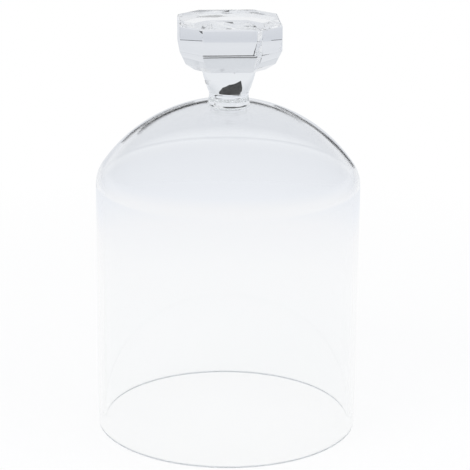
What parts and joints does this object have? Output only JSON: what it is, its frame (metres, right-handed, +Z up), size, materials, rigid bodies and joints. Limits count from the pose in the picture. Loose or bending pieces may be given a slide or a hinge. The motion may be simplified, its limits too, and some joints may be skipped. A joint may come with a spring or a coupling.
{
  "type": "bell jar dome",
  "caption": "Clear blown-glass bell jar with a ground rim and a domed crown, lifted by a cut-cornered square glass knob on a waisted glass stem.",
  "frame": {"origin": "centre of the rim's resting plane", "axes": "+Z up along the bell's axis, X and Y square to the knob's main flats"},
  "size_m": [0.13, 0.13, 0.2057],
  "materials": {
    "bell_glass": "fire-polished clear, rim ground",
    "stem_glass": "fire-polished clear",
    "knob_glass": "cut and polished clear",
    "clear_bond": "cured clear resin"
  },
  "bodies": {
    "root": {"bell": "bell_glass", "crown_bond": "clear_bond", "stem": "stem_glass", "knob_bond": "clear_bond", "knob": "knob_glass"}
  },
  "joints": []
}
